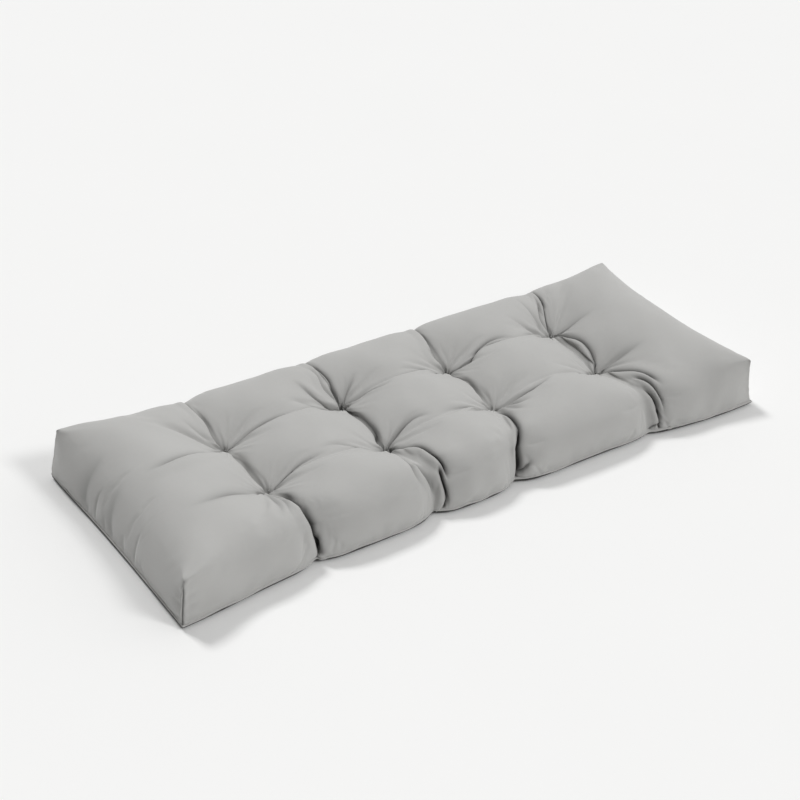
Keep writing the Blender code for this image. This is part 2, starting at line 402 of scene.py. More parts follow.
def middle(x):
    # 0 at the ends, easing to 1 over the reach
    return smooth((halfLength - abs(x)) / cover["middleReach"])


def bySide(y, front, back):
    # one value of the cover's in the front half and another in the back half
    return np.where(y < 0, cover[front], cover[back])


def drawnIn(x, y, rise):
    # how far a long side stands in from its corners: a waist, less a bulge at mid height, plus the pinches
    inward = bySide(y, "frontWaist", "backWaist") * middle(x)
    inward = inward - cover["bulge"] * np.sin(np.pi * rise) * middle(x)
    bow = cover["rightBow"] * bell(x - cover["rightBowPlace"], cover["rightBowReach"])
    inward = inward - np.where(y < 0, bow, 0)
    climbed = smooth(rise * cover["pinchClimb"])
    for sign, pinches, width in ((-1, frontPinches, "frontPinchWidth"), (1, backPinches, "backPinchWidth")):
        for pinch in pinches:
            pull = pinch.seam + (pinch.wall - pinch.seam + cover["bulge"]) * climbed
            near = np.exp(-(abs(x - pinch.x) / cover[width]) ** cover["pinchPower"])
            inward = inward + np.where(np.sign(y) == sign, pull * near, 0)
    return inward


def dome(share):
    # a quarter circle that rises steeply from 0 and levels out at 1
    share = np.clip(share, 0, 1)
    return np.sqrt(1 - (1 - share) ** 2)


Crease = namedtuple("Crease", "start end low high rise reach bow")


def creaseList():
    # straight pulls between tufts and out to the pinches, with the cloth's height at either end
    floor = tacks["back"][0, 2] - cover["tackDepth"]
    creases = []

    def lay(kind, start, end, high=floor):
        reach = cover["rowReach"] if kind == "row" else cover["columnReach"]
        creases.append(Crease(start, end, floor, high, cover[kind + "Rise"], reach, cover[kind + "Bow"]))

    for back, front, backPinch, frontPinch in zip(tacks["back"], tacks["front"], backPinches, frontPinches):
        lay("column", back[:2], front[:2])
        lay("back", back[:2], np.array(backPinch[:2]), backPinch.floor)
        lay("front", front[:2], np.array(frontPinch[:2]), frontPinch.floor)
    for places in tacks.values():
        for left, right in zip(places[:-1], places[1:]):
            lay("row", left[:2], right[:2])
    return creases


def alongLine(x, y, start, end):
    # distance from a straight line and the share of it that has been passed
    run = end - start
    share = np.clip(((x - start[0]) * run[0] + (y - start[1]) * run[1]) / (run @ run), 0, 1)
    return np.hypot(x - start[0] - share * run[0], y - start[1] - share * run[1]), share


def crownHeight(x, y):
    # the crown less the drops of all creases and shoulders, joined by the fourth root of the sum
    # of their fourth powers
    crown = cover["crown"]
    total = 0
    for crease in creaseList():
        away, share = alongLine(x, y, crease.start, crease.end)
        climb = (crease.high - crease.low) * share
        bed = crease.low + climb + crease.rise * np.sin(np.pi * share) ** crease.bow
        total = total + (np.clip(crown - bed, 0, None) * (1 - dome(away / crease.reach))) ** 4
    edge = cover["wallHeight"] + np.where(y < 0, 0, cover["backEdgeRise"]) * middle(x)
    inside = np.clip(halfWidth - bySide(y, "frontWaist", "backWaist") * middle(x) - abs(y), 0, None)
    total = total + ((crown - edge) * (1 - dome(inside / bySide(y, "frontShoulder", "backShoulder")))) ** 4
    inside = np.clip(halfLength - abs(x), 0, None)
    rise = np.where(x < 0, cover["leftRise"], cover["rightRise"])
    rise = rise * smooth((halfWidth - abs(y)) / cover["endRiseReach"])
    edge = np.minimum(cover["wallHeight"] + rise, crown)
    total = total + ((crown - edge) * (1 - dome(inside / cover["endShoulder"]))) ** 4
    deepest = crown - tacks["back"][0, 2] + cover["tackDepth"]
    return crown - np.minimum(total ** 0.25, deepest)


def seamHeight(x):
    # the base seam sinks towards the ends: its lift, less the drop eased in over the reach
    fromEnd = halfLength - abs(x)
    return cover["seamLift"] - cover["endSeamDrop"] * smooth(1 - fromEnd / cover["endSeamReach"])


def turnedOver(inward, below, radius):
    # wraps the strip on both sides of an edge round a quarter circle of the given radius
    radius = np.maximum(radius, 1e-6)
    angle = np.where(below < 1e-6, radius - inward, radius + below) / radius * np.pi / 4
    near = (inward < radius) & (below < radius)
    return (np.where(near, radius - radius * np.sin(angle), inward),
            np.where(near, radius - radius * np.cos(angle), below))


def stuffed(cutX, cutY, rise):
    # the cover over its filling: threaded, rounded at the edge, drawn in and dropped to its creases
    height = cover["wallHeight"]
    x, y = threaded(cutX, cutY)
    below = (1 - rise) * height
    fromEnd = halfLength - abs(x)
    fromSide = halfWidth - abs(y)
    sideRadius = bySide(y, "frontRadius", "backRadius")
    sideIn, sideDown = turnedOver(fromSide, below, sideRadius * smooth(fromEnd / cover["sideRadiusReach"]))
    endRadius = cover["endRadius"] * smooth(fromSide / cover["endRadiusReach"])
    endIn, endDown = turnedOver(fromEnd, below, endRadius)
    nearEdge = (fromSide < sideRadius) | (fromEnd < cover["endRadius"])
    level = height - np.where(nearEdge, np.maximum(sideDown, endDown), below)
    share = level / height
    sideIn = sideIn + drawnIn(x, y, share) * (1 - smooth(fromSide / cover["wallReach"]))
    endPull = cover["endWaist"] * smooth(fromSide / cover["endWaistReach"]) + cover["endLean"] * (share - 0.5)
    endBulge = smooth(fromSide / cover["endBulgeReach"])
    endPull = endPull - cover["bulge"] / 2 * np.sin(np.pi * share) * endBulge
    endIn = endIn + endPull * (1 - smooth(fromEnd / cover["wallReach"]))
    placedX = np.sign(x) * (halfLength - endIn)
    placedY = np.sign(y) * (halfWidth - sideIn)
    top = level + (crownHeight(placedX, placedY) - height) * share ** 2
    belly = np.sin(np.pi * share ** cover["bellyPower"])
    for corner in cornerShifts:
        near = bell(np.hypot(x - corner.x * halfLength, y - corner.y * halfWidth), cover["cornerReach"])
        moveX = corner.footX + (corner.topX - corner.footX) * share + corner.x * corner.bulge * belly
        moveY = corner.footY + (corner.topY - corner.footY) * share
        placedX = placedX + near * moveX
        placedY = placedY + near * moveY
        top = top + near ** 4 * corner.topZ * share
    top = top - cover["backTilt"] * (x / halfLength) ** 3 * (0.5 + y / halfWidth / 2) * share
    foot = seamHeight(cutX)
    return np.stack([placedX, placedY, foot + (top - foot) * share], -1)


# the cloth itself: cut a little too large, pinned at seam and tufts, and blown up by its filling

simulation = {
    "frames": 26,
    "extra": (0.05, 0.10, 0.08),  # spare cloth along, across and up the walls
    "pressure": 60.0,
    "stretch": 15.0,
    "shear": 5.0,
    "bending": 0.01,
    "damping": 5.0,
    "mass": 0.01,
    "air": 2.0,
    "quality": 5,
    "gather": 0.30,  # how much the cloth is gathered at a tuft
    "ease": -0.015,  # and eased everywhere else
    "tuftGather": 0.020,
    "pinchGather": 0.030,
    "frontGather": 0.8,  # share of that gathering at the pinches of either side
    "backGather": 0.35,
    "creaseHold": 0.35,
    "creaseWidth": 0.006,
    "creaseHeight": 0.7,  # creases are held above this share of the wall
    "seamHold": 0.6,  # the first rows over the seam keep close to the stuffed shape
    "seamRows": 2,
}


def weightGroup(piece, name, weights):
    # rounds the weights to twentieths, which is fine enough, and adds the points of each step at once
    finest = 20
    group = piece.vertex_groups.new(name=name)
    steps = np.round(weights * finest).astype(int)
    for step in np.unique(steps[steps > 0]):
        group.add(np.nonzero(steps == step)[0].tolist(), step / finest, "REPLACE")


def inflate(cut, start, quads, grid):
    # runs the cloth from the stuffed shape, with the flat-sided cut as its unstretched size
    spare = 1 + np.array(simulation["extra"])
    mesh = bpy.data.meshes.new("cloth")
    mesh.from_pydata(start.tolist(), [], quads.tolist())
    mesh.update()
    cloth = bpy.data.objects.new("cloth", mesh)
    bpy.context.scene.collection.objects.link(cloth)
    cloth.shape_key_add(name="stuffed")
    rest = cloth.shape_key_add(name="cut")
    rest.data.foreach_set("co", (cut * spare).astype(np.float32).ravel())

    last = grid.max(0)
    onWall = cut[:, 2] / cover["wallHeight"]
    held = np.zeros(len(cut))
    gathered = np.zeros(len(cut))
    for crease in creaseList():
        away = alongLine(start[:, 0], start[:, 1], crease.start, crease.end)[0]
        near = bell(away, simulation["creaseWidth"]) * (onWall > simulation["creaseHeight"])
        held = np.maximum(held, simulation["creaseHold"] * near)
    for tack in np.concatenate([tacks["back"], tacks["front"]]):
        away = np.hypot(start[:, 0] - tack[0], start[:, 1] - tack[1])
        away = away + 9 * (onWall < 1)  # too far off for a point of a wall to be the nearest
        nearest = away.argmin()
        held[nearest] = 1
        start[nearest] = tack - (0, 0, cover["tackDepth"])
        away = np.linalg.norm((cut - cut[nearest]) * spare, axis=1)
        gathered = np.maximum(gathered, bell(away, simulation["tuftGather"]))
    for pinch in backPinches + frontPinches:
        away = np.linalg.norm(start - (pinch.x, pinch.y, pinch.floor), axis=1)
        share = simulation["frontGather"] if pinch.y < 0 else simulation["backGather"]
        gathered = np.maximum(gathered, share * bell(away, simulation["pinchGather"]))
    corner = np.isin(grid[:, 0], (0, last[0])) & np.isin(grid[:, 1], (0, last[1]))
    lowRows = np.clip(1 - (grid[:, 2] - 1) / simulation["seamRows"], 0, 1)
    held = np.maximum(held, simulation["seamHold"] * lowRows)
    held[corner | (grid[:, 2] == 0)] = 1
    mesh.vertices.foreach_set("co", start.astype(np.float32).ravel())
    cloth.data.shape_keys.key_blocks["stuffed"].data.foreach_set("co", start.astype(np.float32).ravel())
    weightGroup(cloth, "held", held)
    weightGroup(cloth, "gathered", gathered)

    modifier = cloth.modifiers.new("Cloth", "CLOTH")
    settings = modifier.settings
    settings.quality = simulation["quality"]
    settings.mass = simulation["mass"]
    settings.air_damping = simulation["air"]
    settings.tension_stiffness = settings.compression_stiffness = simulation["stretch"]
    settings.shear_stiffness = simulation["shear"]
    settings.bending_stiffness = simulation["bending"]
    settings.tension_damping = settings.compression_damping = simulation["damping"]
    settings.shear_damping = simulation["damping"]
    settings.use_pressure = True
    settings.uniform_pressure_force = simulation["pressure"]
    settings.vertex_group_mass = "held"
    settings.rest_shape_key = rest
    settings.vertex_group_shrink = "gathered"
    settings.shrink_max = simulation["gather"]
    settings.shrink_min = simulation["ease"]
    settings.effector_weights.gravity = 0
    modifier.collision_settings.use_collision = False
    modifier.collision_settings.use_self_collision = False
    modifier.point_cache.frame_start = 1
    modifier.point_cache.frame_end = simulation["frames"] + 1
    for step in range(1, simulation["frames"] + 1):
        bpy.context.scene.frame_set(step)
    settled = readPoints(cloth)[0]
    bpy.data.objects.remove(cloth)
    bpy.context.scene.frame_set(1)
    return settled


def readPoints(piece):
    # the points and quads of a piece as its modifiers leave it
    shown = piece.evaluated_get(bpy.context.evaluated_depsgraph_get())
    mesh = shown.to_mesh()
    points = np.empty(len(mesh.vertices) * 3, np.float32)
    mesh.vertices.foreach_get("co", points)
    faces = np.empty(len(mesh.loops), np.int32)
    mesh.loops.foreach_get("vertex_index", faces)
    shown.to_mesh_clear()
    return points.reshape(-1, 3).astype(float), faces.reshape(-1, 4)


def refined(points, quads, sharpEdges, simple=False):
    # one subdivision, smooth for the shape and simple for the cut, which gives both the same order
    mesh = bpy.data.meshes.new("refined")
    mesh.from_pydata(points.tolist(), [], quads.tolist())
    mesh.update()
    piece = bpy.data.objects.new("refined", mesh)
    bpy.context.scene.collection.objects.link(piece)
    ends = np.empty(len(mesh.edges) * 2, np.int32)
    mesh.edges.foreach_get("vertices", ends)
    ends = ends.reshape(-1, 2)
    crease = mesh.attributes.new("crease_edge", "FLOAT", "EDGE")
    crease.data.foreach_set("value", (sharpEdges[ends[:, 0]] & sharpEdges[ends[:, 1]]).astype(np.float32))
    finer = piece.modifiers.new("finer", "SUBSURF")
    finer.levels = finer.render_levels = 1
    finer.subdivision_type = "SIMPLE" if simple else "CATMULL_CLARK"
    result = readPoints(piece)
    bpy.data.objects.remove(piece)
    return result


placeCamera()
makeStudio()
print("studio ready")

byCorner = (clothSpacing["cornerBand"], clothSpacing["corner"])
xs = ladder(-halfLength, halfLength, clothSpacing["open"],
            [(x, clothSpacing["creaseBand"], clothSpacing["crease"]) for x in columnX]
            + [(x, *byCorner) for x in (-halfLength, halfLength)])
ys = ladder(-halfWidth, halfWidth, clothSpacing["rowOpen"],
            [(y, clothSpacing["rowBand"], clothSpacing["rowCrease"]) for y in rowY.values()]
            + [(y, *byCorner) for y in (-halfWidth, halfWidth)])
zs = np.linspace(0, 1, round(cover["wallHeight"] / clothSpacing["wall"]) + 1)
grid, quads = boxLattice(len(xs) - 1, len(ys) - 1, len(zs) - 1)
cut = np.stack([xs[grid[:, 0]], ys[grid[:, 1]], zs[grid[:, 2]] * cover["wallHeight"]], -1)
start = stuffed(cut[:, 0], cut[:, 1], zs[grid[:, 2]])
settled = inflate(cut, start, quads, grid)
print("cloth settled")
last = grid.max(0)
cornerLine = np.isin(grid[:, 0], (0, last[0])) & np.isin(grid[:, 1], (0, last[1]))
shape, faces = refined(settled, quads, cornerLine)
pattern = refined(cut, quads, cornerLine, simple=True)[0]
print(len(faces), "faces after the subdivision")


# folds, laid out on the flat cloth from the tuft that each one pulls from

crisp = {  # places and widths are counted in the fold's own width
    "steep": 0.65,
    "gentle": 1.15,
    "power": 1.3,  # under 2 the bottom of a fold is a sharp line
    "reach": 6,
    "lipPlace": 1.8,
    "lipWidth": 1.4,
    "lap": 1.0,
    "lapPlace": 1.2,
    "lapWidth": 1.5,
    "lapLip": 0.002,  # metres; a lip lower than this laps over less
    "snap": 0.0013,  # metres beside the line that draw together on it
}
Fold = namedtuple("Fold", "side column path depth width lip over fadeIn fadeOut")
# path: metres along and across the cloth from the tuft, the rest in metres too, but for the last three;
# over: 1 where the cloth on the left hand laps over, -1 on the right; fades: shares of the path's length
folds = (
    # between the tufts and out over the back edge
    Fold("back", 1, ((0, 0), (-0.006, 0.030), (-0.003, 0.070), (-0.009, 0.110), (-0.006, 0.170)),
         0.007, 0.0045, 0.003, 1, 0.02, 0.2),
    Fold("back", 1, ((0, 0), (0.002, -0.050), (-0.002, -0.100), (0, -0.145)),
         0.005, 0.0045, 0.002, -1, 0.02, 0.02),
    Fold("back", 1, ((0, 0), (0.030, -0.004), (0.070, -0.003), (0.110, 0), (0.150, -0.002)),
         0.005, 0.0045, 0.002, -1, 0.02, 0.6),
    Fold("back", 2, ((0, 0), (-0.030, -0.005), (-0.060, -0.003), (-0.090, 0.026), (-0.120, 0.040)),
         0.004, 0.008, 0.001, 1, 0.02, 0.7),
    Fold("back", 2, ((0, 0), (-0.012, 0.004), (-0.025, 0.012), (-0.045, 0.040), (-0.065, 0.085)),
         0.006, 0.006, 0.002, -1, 0.02, 0.6),
    Fold("back", 2, ((0, 0), (0.001, 0.040), (0.006, 0.065), (0.004, 0.100), (0, 0.170)),
         0.008, 0.0045, 0.003, 1, 0.02, 0.2),
    Fold("back", 2, ((-0.003, 0.010), (-0.013, 0.045), (-0.008, 0.080), (-0.012, 0.120)),
         0.004, 0.004, 0.002, 1, 0.1, 0.5),
    Fold("back", 2, ((0, 0), (0.017, 0.012), (0.040, 0.030), (0.066, 0.055)),
         0.005, 0.006, 0.002, -1, 0.02, 0.7),
    Fold("back", 2, ((0, 0), (0.003, -0.040), (0.003, -0.075), (0.002, -0.100), (-0.004, -0.122),
                     (0, -0.147)),
         0.009, 0.005, 0.004, -1, 0.02, 0.02),
    Fold("back", 2, ((0, 0), (0.025, -0.004), (0.055, -0.007), (0.087, -0.012), (0.120, -0.010)),
         0.005, 0.005, 0.002, -1, 0.02, 0.6),
    Fold("back", 3, ((0, 0), (-0.030, -0.006), (-0.060, 0.001), (-0.100, 0.014), (-0.130, 0.016)),
         0.005, 0.006, 0.002, 1, 0.02, 0.7),
    Fold("back", 3, ((0, 0), (-0.007, 0.030), (-0.006, 0.060), (-0.003, 0.100), (0, 0.175)),
         0.009, 0.005, 0.004, 1, 0.02, 0.2),
    Fold("back", 3, ((-0.006, 0.012), (-0.016, 0.040), (-0.012, 0.075)),
         0.004, 0.004, 0.002, 1, 0.2, 0.5),
    Fold("back", 3, ((0, 0), (0, -0.030), (0.003, -0.056), (-0.004, -0.097), (-0.008, -0.125),
                     (0, -0.140)),
         0.006, 0.0045, 0.003, -1, 0.02, 0.02),
    Fold("back", 3, ((0, 0), (0.040, -0.012), (0.080, 0.003), (0.122, 0.009), (0.172, -0.003)),
         0.006, 0.005, 0.002, -1, 0.02, 0.5),
    Fold("back", 4, ((0, 0), (0.004, 0.042), (0.016, 0.087), (0.017, 0.120), (0.010, 0.170)),
         0.009, 0.0045, 0.003, 1, 0.02, 0.2),
    Fold("back", 4, ((-0.004, 0.010), (-0.009, 0.045), (0.003, 0.090), (0.006, 0.130)),
         0.005, 0.004, 0.002, 1, 0.1, 0.4),
    Fold("back", 4, ((-0.016, 0.008), (-0.024, 0.057), (-0.040, 0.125)),
         0.0025, 0.005, 0.001, 1, 0.2, 0.6),
    Fold("back", 4, ((-0.012, 0.004), (-0.040, 0.014), (-0.065, 0.035), (-0.095, 0.073)),
         0.0025, 0.006, 0.001, 1, 0.2, 0.6),
    Fold("back", 4, ((0, 0), (-0.050, 0.002), (-0.090, 0.006)), 0.005, 0.006, 0.002, 1, 0.02, 0.7),
    Fold("back", 4, ((0, 0), (0.022, -0.050), (0.023, -0.088), (0.015, -0.115), (0, -0.145)),
         0.008, 0.0055, 0.004, -1, 0.02, 0.02),
    Fold("back", 4, ((0.002, -0.015), (0.006, -0.060), (0.006, -0.095), (0, -0.130)),
         0.004, 0.0045, 0.002, -1, 0.2, 0.2),
    Fold("back", 4, ((0, 0), (0.035, -0.012), (0.075, -0.015), (0.110, -0.018)),
         0.004, 0.009, 0.002, -1, 0.02, 0.7),
    # along the front row
    Fold("front", 1, ((0, 0), (0.020, -0.003), (0.068, 0.005), (0.108, 0.008), (0.136, 0.011)),
         0.006, 0.005, 0.002, -1, 0.02, 0.6),
    Fold("front", 2, ((0, 0), (-0.020, -0.003), (-0.055, 0), (-0.100, 0.019), (-0.150, 0.023)),
         0.005, 0.006, 0.002, 1, 0.02, 0.7),
    Fold("front", 2, ((0, 0), (0.028, 0.008), (0.070, 0.017), (0.116, 0.010)),
         0.005, 0.006, 0.002, -1, 0.02, 0.5),
    Fold("front", 3, ((0, 0), (-0.034, -0.004), (-0.093, 0.003), (-0.144, 0.009)),
         0.005, 0.006, 0.002, 1, 0.02, 0.7),
    Fold("front", 3, ((0, 0), (0.020, -0.014), (0.050, -0.020), (0.097, -0.017), (0.150, -0.003)),
         0.007, 0.005, 0.003, -1, 0.02, 0.6),
    Fold("front", 4, ((0, 0), (-0.040, -0.008), (-0.080, -0.006), (-0.120, -0.004)),
         0.005, 0.006, 0.002, 1, 0.02, 0.7),
    # soft pulls into the end sections
    Fold("back", 1, ((0, 0), (-0.030, -0.024), (-0.073, -0.039), (-0.148, -0.055), (-0.206, -0.050)),
         0.006, 0.0075, 0.005, 1, 0.05, 0.35),
    Fold("back", 1, ((-0.215, 0.040), (-0.262, 0.036), (-0.300, 0.030), (-0.340, 0.032)),
         0.0030, 0.015, 0.0003, 1, 0.6, 0.4),
    Fold("back", 1, ((-0.235, -0.030), (-0.270, -0.050), (-0.305, -0.062), (-0.340, -0.062)),
         0.0032, 0.014, 0.0003, 1, 0.6, 0.4),
    Fold("back", 1, ((-0.006, 0.003), (-0.042, 0.022), (-0.074, 0.052), (-0.109, 0.073)),
         0.003, 0.006, 0.001, 1, 0.1, 0.6),
    Fold("back", 1, ((-0.004, 0.010), (-0.028, 0.040), (-0.050, 0.085)),
         0.0025, 0.005, 0.001, 1, 0.2, 0.6),
    Fold("front", 1, ((0, 0), (-0.030, -0.014), (-0.075, -0.021), (-0.146, -0.030), (-0.198, -0.028)),
         0.005, 0.010, 0.002, 1, 0.05, 0.6),
    Fold("front", 4, ((0.004, -0.004), (0.060, -0.012), (0.120, -0.014)),
         0.004, 0.010, 0.001, -1, 0.1, 0.6),
    # gathers over the front edge, first column
    Fold("front", 1, ((0, 0), (0.004, -0.040), (-0.004, -0.080), (-0.003, -0.141),
                      (0.000, -0.186), (0.008, -0.240)),
         0.015, 0.006, 0.005, -1, 0.3, 0.1),
    Fold("front", 1, ((-0.003, -0.160), (0.007, -0.190), (0.008, -0.220), (0.002, -0.255)),
         0.012, 0.005, 0.003, 1, 0.2, 0.05),
    Fold("front", 1, ((-0.006, -0.010), (-0.028, -0.047), (-0.037, -0.087), (-0.047, -0.120)),
         0.0045, 0.006, 0.002, -1, 0.1, 0.6),
    Fold("front", 1, ((-0.003, -0.010), (-0.014, -0.045), (-0.024, -0.090), (-0.030, -0.130)),
         0.004, 0.005, 0.002, -1, 0.2, 0.6),
    Fold("front", 1, ((-0.006, -0.004), (-0.011, -0.011), (-0.015, -0.020)),
         0.015, 0.005, 0.001, 1, 0.3, 0.4),
    # second column
    Fold("front", 2, ((0, 0), (0.012, -0.025), (0.028, -0.057), (0.030, -0.102), (0.035, -0.140),
                      (0.041, -0.170)),
         0.014, 0.0055, 0.005, -1, 0.05, 0.2),
    Fold("front", 2, ((0, 0), (-0.012, -0.035), (-0.028, -0.090), (-0.030, -0.140), (-0.014, -0.180)),
         0.006, 0.006, 0.002, -1, 0.05, 0.5),
    Fold("front", 2, ((0.026, -0.132), (0.022, -0.162), (0.025, -0.190), (0.022, -0.218),
                      (0.010, -0.250)),
         0.015, 0.005, 0.004, -1, 0.25, 0.05),
    Fold("front", 2, ((-0.018, -0.080), (-0.012, -0.120), (-0.006, -0.160), (0.006, -0.205)),
         0.005, 0.006, 0.002, -1, 0.3, 0.3),
    # third column
    Fold("front", 3, ((0, 0), (0.005, -0.045), (0.006, -0.080), (0.007, -0.140), (0.003, -0.170),
                      (0.002, -0.200), (-0.004, -0.255)),
         0.018, 0.004, 0.004, -1, 0.25, 0.05),
    Fold("front", 3, ((0.026, -0.178), (0.012, -0.212), (-0.004, -0.240)),
         0.006, 0.005, 0.003, 1, 0.4, 0.1),
    Fold("front", 3, ((0.010, -0.012), (0.040, -0.034), (0.074, -0.042)),
         0.004, 0.005, 0.002, -1, 0.1, 0.6),
    Fold("front", 3, ((0.008, -0.016), (0.028, -0.046), (0.048, -0.066)),
         0.003, 0.005, 0.001, -1, 0.2, 0.6),
    # fourth column
    Fold("front", 4, ((0, 0), (0.020, -0.038), (0.037, -0.072), (0.046, -0.107), (0.054, -0.138)),
         0.011, 0.006, 0.004, -1, 0.1, 0.35),
    Fold("front", 4, ((0.018, -0.070), (0.027, -0.110), (0.034, -0.150), (0.038, -0.188)),
         0.008, 0.0045, 0.004, -1, 0.3, 0.3),
    Fold("front", 4, ((0.012, -0.120), (0.018, -0.155), (0.021, -0.190), (0.022, -0.245)),
         0.011, 0.0045, 0.003, -1, 0.3, 0.05),
    Fold("front", 4, ((0.020, -0.212), (0.004, -0.240)), 0.006, 0.005, 0.002, 1, 0.4, 0.1),
)


def clothPlace(box, inPanel=None):
    # unrolls the walls, so a place is metres along and across one flat cross-shaped cloth;
    # inPanel is a point of the same wall, for places on a corner that belongs to two
    panel = box if inPanel is None else inPanel
    onWall = cover["wallHeight"] - panel[..., 2] > 1e-6
    onSide = onWall & (abs(abs(panel[..., 1]) - halfWidth) < 1e-6)
    below = cover["wallHeight"] - box[..., 2]
    return np.stack([box[..., 0] + np.where(onWall & ~onSide, np.sign(box[..., 0]) * below, 0),
                     box[..., 1] + np.where(onSide, np.sign(box[..., 1]) * below, 0)], -1)


def curved(points, steps=5):
    # passes through every point, heading at each along the chord between its neighbours (Catmull-Rom)
    ends = np.concatenate([2 * points[:1] - points[1:2], points, 2 * points[-1:] - points[-2:-1]])
    share = (np.arange(steps) / steps)[:, None]
    parts = []
    for before, start, end, after in zip(ends[:-3], ends[1:-2], ends[2:-1], ends[3:]):
        parts.append(start + share * (end - before) / 2
                     + share ** 2 * (before - 2.5 * start + 2 * end - after / 2)
                     + share ** 3 * (3 * start - before - 3 * end + after) / 2)
    return np.concatenate(parts + [points[-1:]])


def foldMove(fold, flat, points, normals):
    # a steep side under a raised lip, a gentle side opposite, and a sidelong shift that laps the lip over
    tuft = np.array((columnX[fold.column - 1], rowY[fold.side]))
    path = np.array(fold.path) + tuft
    places = curved(points[[np.linalg.norm(flat - place, axis=1).argmin() for place in path]])
    path = curved(path)
    runs = np.diff(path, axis=0)
    lengths = np.linalg.norm(runs, axis=1)
    passed = np.concatenate([[0], np.cumsum(lengths)])
    reach = crisp["reach"] * fold.width
    near = np.all((flat > path.min(0) - reach) & (flat < path.max(0) + reach), axis=1)
    number = np.nonzero(near)[0]
    here = flat[number]
    best = np.full(len(number), np.inf)
    signed = np.zeros(len(number))
    share = np.zeros(len(number))
    heading = np.zeros((len(number), 3))
    for step, (begin, run, length) in enumerate(zip(path[:-1], runs, lengths)):
        away, part = alongLine(here[:, 0], here[:, 1], begin, begin + run)
        closer = away < best
        turn = run[0] * (here[:, 1] - begin[1]) - run[1] * (here[:, 0] - begin[0])
        best = np.where(closer, away, best)
        signed = np.where(closer, np.where(turn < 0, -away, away), signed)
        share = np.where(closer, (passed[step] + part * length) / passed[-1], share)
        heading[closer] = places[step + 1] - places[step]
    heading /= np.maximum(np.linalg.norm(heading, axis=1, keepdims=True), 1e-9)
    strength = smooth((share + 1e-3) / fold.fadeIn) * smooth((1 - share + 1e-3) / fold.fadeOut)
    beside = signed * fold.over
    width = np.where(beside > 0, crisp["steep"], crisp["gentle"]) * fold.width
    groove = fold.depth * np.exp(-(best / width) ** crisp["power"])
    lip = fold.lip * bell(beside - crisp["lipPlace"] * fold.width, crisp["lipWidth"] * fold.width)
    lap = crisp["lap"] * fold.width * smooth(fold.lip / crisp["lapLip"])
    lap = lap * bell(beside - crisp["lapPlace"] * fold.width, crisp["lapWidth"] * fold.width)
    snap = signed * bell(signed, crisp["snap"])
    left = np.cross(normals[number], heading)
    move = normals[number] * ((lip - groove) * strength)[:, None]
    return number, move - left * ((lap * fold.over + snap) * strength)[:, None], groove * strength


def folded(points, quads, flat):
    # all the folds' moves added up; also returns how deep each point lies in a fold
    normals = pointNormals(points, quads)
    moved = points.copy()
    depth = np.zeros(len(points))
    for fold in folds:
        number, move, groove = foldMove(fold, flat, points, normals)
        moved[number] += move
        depth[number] = np.maximum(depth[number], groove)
    return moved, depth


seams = {
    "groove": 0.0030,  # how far the sewn line sinks between its two soft edges
    "grooveWidth": 0.0012,
    "edge": 0.0012,
    "edgeWidth": 0.0035,
    "atHem": 0.4,  # share of both that is left at the lower seam
    "aboveHem": 0.03,
    "pucker": 0.0016,
    "puckerReach": 0.020,
    "puckerTurns": (310, 75),
    "farPucker": 0.3,  # share of it at every corner but the one at the front left
    "notchReach": 0.005,
    "cornerNotch": 0.0015,
    "cornerPoint": 0.0045,
    "cornerReach": 0.011,
    # painted shade: how dark the corner seams' grooves and top notches are painted
    "shade": 0.007,
    "rollRadius": 0.0022,  # the turned edge that the base is sewn to
    "rollTurns": (40, 80, 120, 165),  # degrees
    "hem": 0.0035,
    "hemHeight": 0.4,
    "tuckedIn": 0.014,
    "underside": 0.0085,
    "turnedCloth": (0, 0.0012, 0.0024, 0.0036, 0.0048, 0.008, 0.018),  # metres of cloth down to each ring
    "turnedFrom": 0.4,  # where that strip lies across the flat cloth
    "lowest": 0.0035,  # no fold hangs lower than this
}


def seamed(points, quads, box):
    # sinks the four upright corner seams between raised edges, puckers the cloth beside them by a
    # swaying sine, and notches and draws out the top corners
    normals = pointNormals(points, quads)
    height = cover["wallHeight"]
    onWall = smooth((height - box[:, 2] + 0.002) / 0.012)
    fromCorner = np.hypot(halfLength - abs(box[:, 0]), halfWidth - abs(box[:, 1]))
    onSide = abs(abs(box[:, 1]) - halfWidth) < 1e-6
    quick, slow = seams["puckerTurns"]
    crinkle = np.sin(quick * box[:, 2] + 2.2 * np.sin(slow * box[:, 2]) + 1.7 * onSide + np.sign(box[:, 0]))
    toTop = np.hypot(fromCorner, height - box[:, 2])
    notch = bell(toTop, seams["notchReach"])
    groove = bell(fromCorner, seams["grooveWidth"]) * onWall
    beside = bell(fromCorner - seams["puckerReach"] / 2, seams["puckerReach"] / 2) * smooth(box[:, 2] / 0.02)
    aboveHem = seams["atHem"] + (1 - seams["atHem"]) * smooth(box[:, 2] / seams["aboveHem"])
    edge = seams["edge"] * bell(fromCorner - seams["edgeWidth"], seams["edgeWidth"] * 0.7) * onWall * aboveHem
    share = np.where(box[:, :2].sum(1) < -halfLength, 1, seams["farPucker"])
    lift = (edge + seams["pucker"] * crinkle * beside * onWall * share
            - seams["groove"] * groove * aboveHem - seams["cornerNotch"] * notch)
    outward = np.stack([np.sign(box[:, 0]), np.sign(box[:, 1]), np.ones(len(box))], -1) / math.sqrt(3)
    point = seams["cornerPoint"] * np.exp(-toTop / seams["cornerReach"])
    moved = points + normals * lift[:, None] + outward * point[:, None]
    # also returns the painted shade of the seam grooves and notches
    return moved, seams["shade"] * np.maximum(groove, notch)


